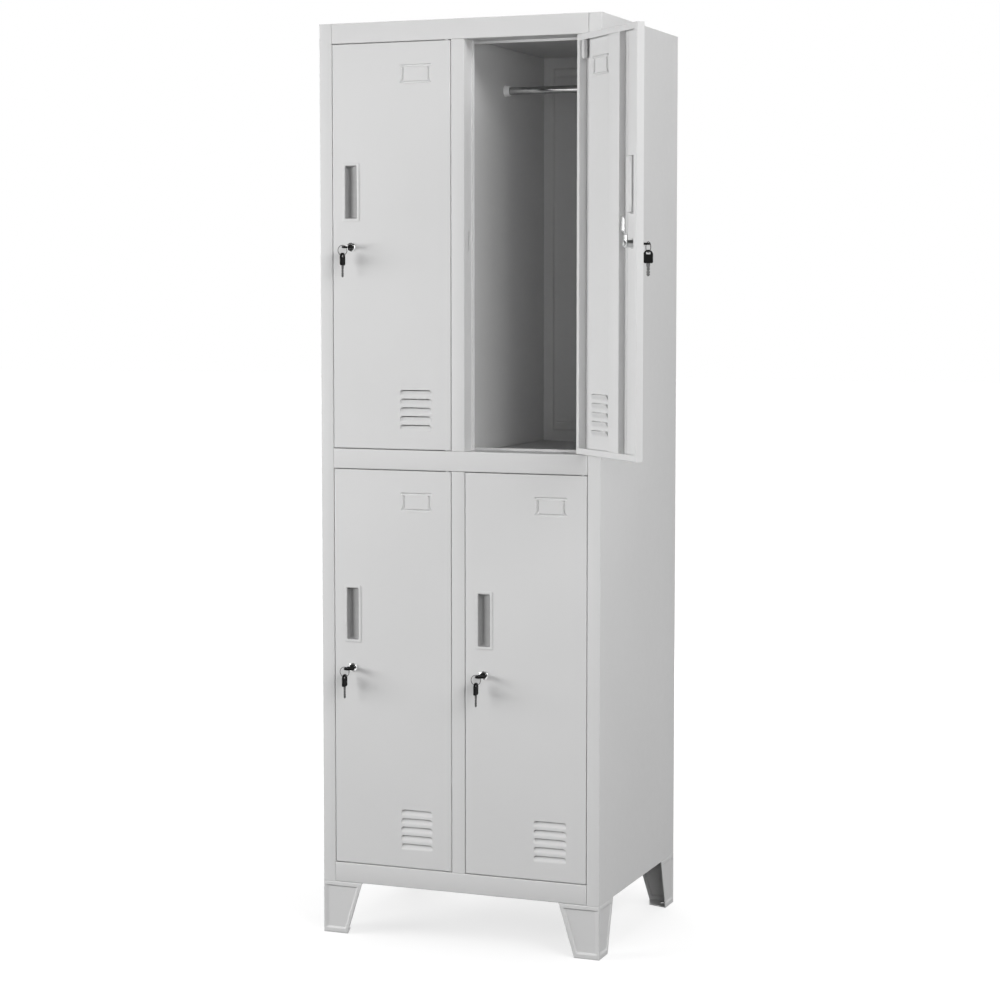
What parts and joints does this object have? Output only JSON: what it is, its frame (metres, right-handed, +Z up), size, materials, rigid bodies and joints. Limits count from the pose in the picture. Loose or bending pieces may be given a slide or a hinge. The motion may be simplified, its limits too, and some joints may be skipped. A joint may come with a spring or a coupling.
{
  "type": "locker cabinet",
  "caption": "Tall sheet-metal locker cabinet on folded legs, with hinged vented doors, cam locks with keys, recessed handles and clothes rods inside.",
  "frame": {"origin": "middle of the base of the whole object's box at rest, with the upper right door open, at floor level", "axes": "+X to the right across the front, +Y into the depth, from the doors to the back, +Z up"},
  "size_m": [0.7436, 0.6694, 1.85],
  "materials": {
    "powder_coat": "light grey powder coat, fine satin texture",
    "chrome": "bright chrome plate",
    "zinc_steel": "bright zinc plate",
    "grey_plastic": "moulded light grey plastic",
    "key": "black moulded bow; the blade in it is bare steel"
  },
  "bodies": {
    "cabinet": {"top_panel": "powder_coat", "middle_shelf": "powder_coat", "base_panel": "powder_coat", "back_panel": "powder_coat", "left_side_panel": "powder_coat", "right_side_panel": "powder_coat", "upper_partition": "powder_coat", "lower_partition": "powder_coat", "front_left_leg": "powder_coat", "front_right_leg": "powder_coat", "rear_right_leg": "powder_coat", "rear_left_leg": "powder_coat", "upper_middle_socket": "grey_plastic", "upper_left_rod": "chrome", "upper_left_socket": "grey_plastic", "upper_right_rod": "chrome", "upper_right_socket": "grey_plastic", "lower_middle_socket": "grey_plastic", "lower_left_rod": "chrome", "lower_left_socket": "grey_plastic", "lower_right_rod": "chrome", "lower_right_socket": "grey_plastic", "bottom_left_hinge_pin": "zinc_steel", "bottom_right_hinge_pin": "zinc_steel", "middle_left_hinge_pin": "zinc_steel", "middle_right_hinge_pin": "zinc_steel", "top_left_hinge_pin": "zinc_steel", "top_right_hinge_pin": "zinc_steel"},
    "upper_left_door_body": {"upper_left_door": "powder_coat", "upper_left_stiffener": "powder_coat", "upper_left_handle": "grey_plastic", "upper_left_lock_barrel": "chrome"},
    "upper_left_lock_body": {"upper_left_lock_cam": "zinc_steel", "upper_left_key": "key"},
    "upper_left_ring_body": {"upper_left_key_ring": "zinc_steel", "upper_left_spare_key": "key"},
    "upper_right_door_body": {"upper_right_door": "powder_coat", "upper_right_stiffener": "powder_coat", "upper_right_handle": "grey_plastic", "upper_right_lock_barrel": "chrome"},
    "upper_right_lock_body": {"upper_right_lock_cam": "zinc_steel", "upper_right_key": "key"},
    "upper_right_ring_body": {"upper_right_key_ring": "zinc_steel", "upper_right_spare_key": "key"},
    "lower_left_door_body": {"lower_left_door": "powder_coat", "lower_left_stiffener": "powder_coat", "lower_left_handle": "grey_plastic", "lower_left_lock_barrel": "chrome"},
    "lower_left_lock_body": {"lower_left_lock_cam": "zinc_steel", "lower_left_key": "key"},
    "lower_left_ring_body": {"lower_left_key_ring": "zinc_steel", "lower_left_spare_key": "key"},
    "lower_right_door_body": {"lower_right_door": "powder_coat", "lower_right_stiffener": "powder_coat", "lower_right_handle": "grey_plastic", "lower_right_lock_barrel": "chrome"},
    "lower_right_lock_body": {"lower_right_lock_cam": "zinc_steel", "lower_right_key": "key"},
    "lower_right_ring_body": {"lower_right_key_ring": "zinc_steel", "lower_right_spare_key": "key"}
  },
  "joints": [
    {"name": "upper_left_door_hinge", "type": "hinge", "parent": "cabinet", "child": "upper_left_door_body", "pos_m": [-0.09584, -0.15132, 1.0005], "axis": [0, 0, 1], "range_deg": [0, 135]},
    {"name": "upper_right_door_hinge", "type": "hinge", "parent": "cabinet", "child": "upper_right_door_body", "pos_m": [0.19096, -0.15132, 1.0005], "axis": [0, 0, 1], "range_deg": [-135, 0]},
    {"name": "lower_left_door_hinge", "type": "hinge", "parent": "cabinet", "child": "lower_left_door_body", "pos_m": [-0.09584, -0.15132, 0.1495], "axis": [0, 0, 1], "range_deg": [0, 135]},
    {"name": "lower_right_door_hinge", "type": "hinge", "parent": "cabinet", "child": "lower_right_door_body", "pos_m": [0.19096, -0.15132, 0.1495], "axis": [0, 0, 1], "range_deg": [0, 135]},
    {"name": "upper_left_lock_turn", "type": "hinge", "parent": "upper_left_door_body", "child": "upper_left_lock_body", "pos_m": [-0.30314, -0.15532, 1.4045], "axis": [0, -1, 0], "range_deg": [0, 90]},
    {"name": "upper_left_ring_swing", "type": "hinge", "parent": "upper_left_lock_body", "child": "upper_left_ring_body", "pos_m": [-0.31034, -0.18112, 1.4045], "axis": [0, -1, 0], "range_deg": [-90, 0]},
    {"name": "upper_right_lock_turn", "type": "hinge", "parent": "upper_right_door_body", "child": "upper_right_lock_body", "pos_m": [0.34037, -0.29508, 1.4045], "axis": [0.7071, 0.7071, 0], "range_deg": [0, 90]},
    {"name": "upper_right_ring_swing", "type": "hinge", "parent": "upper_right_lock_body", "child": "upper_right_ring_body", "pos_m": [0.36371, -0.28193, 1.4045], "axis": [0.7071, 0.7071, 0], "range_deg": [-90, 0]},
    {"name": "lower_left_lock_turn", "type": "hinge", "parent": "lower_left_door_body", "child": "lower_left_lock_body", "pos_m": [-0.30314, -0.15532, 0.5535], "axis": [0, -1, 0], "range_deg": [0, 90]},
    {"name": "lower_left_ring_swing", "type": "hinge", "parent": "lower_left_lock_body", "child": "lower_left_ring_body", "pos_m": [-0.31034, -0.18112, 0.5535], "axis": [0, -1, 0], "range_deg": [-90, 0]},
    {"name": "lower_right_lock_turn", "type": "hinge", "parent": "lower_right_door_body", "child": "lower_right_lock_body", "pos_m": [-0.01634, -0.15532, 0.5535], "axis": [0, -1, 0], "range_deg": [0, 90]},
    {"name": "lower_right_ring_swing", "type": "hinge", "parent": "lower_right_lock_body", "child": "lower_right_ring_body", "pos_m": [-0.02354, -0.18112, 0.5535], "axis": [0, -1, 0], "range_deg": [-90, 0]}
  ],
  "couplings": [
    {"joint": "upper_left_ring_swing", "follows": "upper_left_lock_turn", "ratio": -1},
    {"joint": "upper_right_ring_swing", "follows": "upper_right_lock_turn", "ratio": -1},
    {"joint": "lower_left_ring_swing", "follows": "lower_left_lock_turn", "ratio": -1},
    {"joint": "lower_right_ring_swing", "follows": "lower_right_lock_turn", "ratio": -1}
  ]
}
